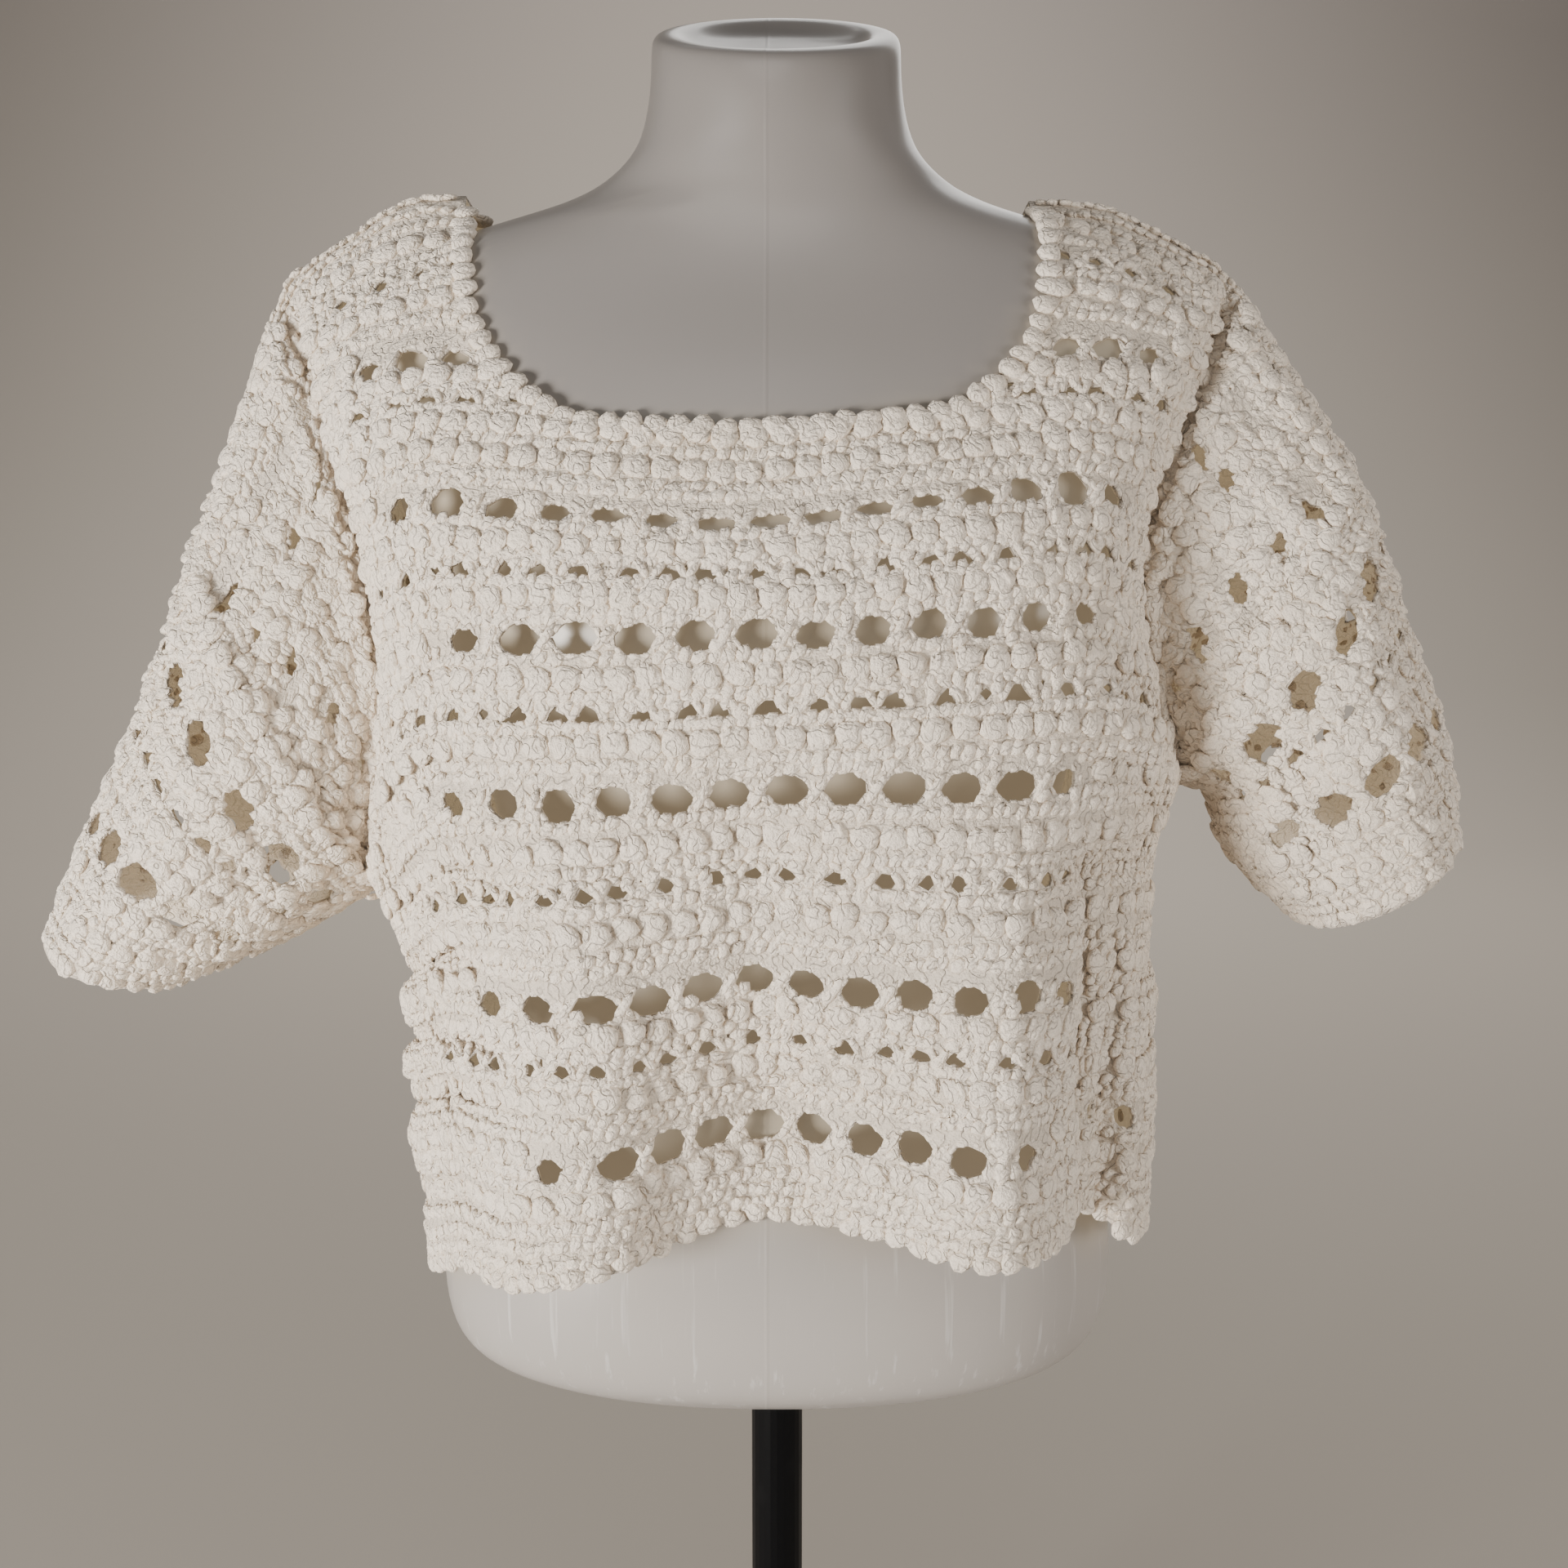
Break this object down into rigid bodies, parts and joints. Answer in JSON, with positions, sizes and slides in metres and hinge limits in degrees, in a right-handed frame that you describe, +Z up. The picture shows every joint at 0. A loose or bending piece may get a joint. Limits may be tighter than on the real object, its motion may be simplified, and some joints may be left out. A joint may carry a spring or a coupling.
{
  "type": "cropped crochet sweater on a torso dress form with a pole stand",
  "caption": "Boxy cropped open-work sweater with a wide scoop neck and short wide sleeves, worn by a limbless torso form on a pole with a round base.",
  "frame": {"origin": "centre of the base's underside", "axes": "+Z up the pole to the form's neck, -Y towards the front of the garment, +X towards the sleeve on the right of the picture"},
  "size_m": [0.6647, 0.2851, 0.9495],
  "materials": {
    "yarn": "soft matt off-white cotton chenille yarn, crocheted",
    "form_plastic": "milk-white semi-gloss blow-moulded plastic",
    "pole_steel": "satin black paint",
    "base_steel": "satin black paint"
  },
  "bodies": {
    "root": {"body_front": "yarn", "body_back": "yarn", "sleeve_left_front": "yarn", "sleeve_left_back": "yarn", "sleeve_right_front": "yarn", "sleeve_right_back": "yarn", "torso_form": "form_plastic", "stand_pole": "pole_steel", "stand_base": "base_steel"}
  },
  "joints": []
}
